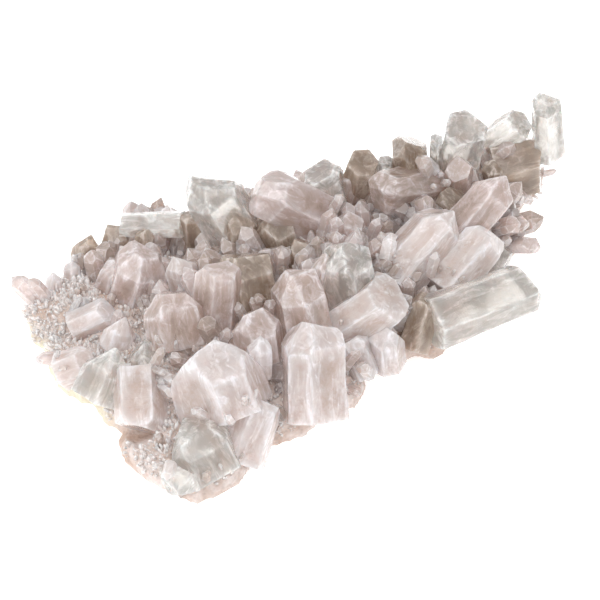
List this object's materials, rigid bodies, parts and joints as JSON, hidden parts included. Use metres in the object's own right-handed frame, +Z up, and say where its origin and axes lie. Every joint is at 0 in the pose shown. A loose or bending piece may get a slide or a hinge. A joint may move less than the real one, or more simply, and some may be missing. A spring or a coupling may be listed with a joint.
{
  "type": "quartz crystal cluster",
  "caption": "Elongated quartz crystal cluster: clear, milky, pinkish and smoky six-sided points crowded on a flat-bottomed slab of matrix.",
  "frame": {"origin": "middle of the cluster's bounding box, on the flat underside that it rests on", "axes": "+X along the cluster from its broad end to its narrow end, +Y toward the back edge, +Z up"},
  "size_m": [0.1742, 0.1094, 0.046],
  "materials": {
    "clear_quartz": "polished",
    "milky_quartz": "gloss",
    "pink_quartz": "gloss",
    "smoky_quartz": "gloss",
    "matrix_rock": "matte"
  },
  "bodies": {
    "root": {"front_prism": "clear_quartz", "great_crystal": "milky_quartz", "upright_point": "pink_quartz", "bright_centre_point": "clear_quartz", "milky_centre_point": "milky_quartz", "front_milky_column": "milky_quartz", "tall_centre_point": "pink_quartz", "narrow_end_tall_point": "clear_quartz", "narrow_end_upright_point": "clear_quartz", "narrow_end_clear_point": "clear_quartz", "back_tall_point": "clear_quartz", "bridging_crystal": "clear_quartz", "back_rounded_point": "pink_quartz", "back_clear_point": "clear_quartz", "back_slim_point": "smoky_quartz", "back_smoky_point": "smoky_quartz", "lying_point": "pink_quartz", "right_upper_point": "pink_quartz", "right_middle_point": "milky_quartz", "right_rounded_point": "milky_quartz", "right_clear_mass": "clear_quartz", "left_grey_point": "clear_quartz", "left_down_point": "milky_quartz", "left_bright_point": "milky_quartz", "left_rose_block": "pink_quartz", "rose_blunt_point": "pink_quartz", "smoky_broad_point": "smoky_quartz", "front_base_block": "clear_quartz", "front_slanting_point": "milky_quartz", "narrow_end_mass": "smoky_quartz", "front_edge_point": "pink_quartz", "white_tip": "milky_quartz", "front_corner_block": "clear_quartz", "front_low_point_1": "milky_quartz", "front_low_point_2": "milky_quartz", "front_low_point_3": "smoky_quartz", "smoky_middle_point": "smoky_quartz", "left_white_point": "milky_quartz", "left_small_point_1": "milky_quartz", "left_small_point_2": "clear_quartz", "left_small_point_3": "pink_quartz", "white_facet_point": "milky_quartz", "back_gold_point": "smoky_quartz", "back_curved_point": "smoky_quartz", "back_small_point_1": "smoky_quartz", "back_small_point_2": "smoky_quartz", "back_small_point_3": "pink_quartz", "back_small_point_4": "clear_quartz", "back_small_point_5": "clear_quartz", "narrow_end_point_1": "pink_quartz", "narrow_end_point_2": "smoky_quartz", "narrow_end_point_3": "smoky_quartz", "middle_small_point_1": "pink_quartz", "middle_small_point_2": "pink_quartz", "rim_point_1": "smoky_quartz", "rim_point_2": "smoky_quartz", "rim_point_3": "smoky_quartz", "rim_point_4": "milky_quartz", "rim_point_5": "milky_quartz", "matrix": "matrix_rock"}
  },
  "joints": []
}
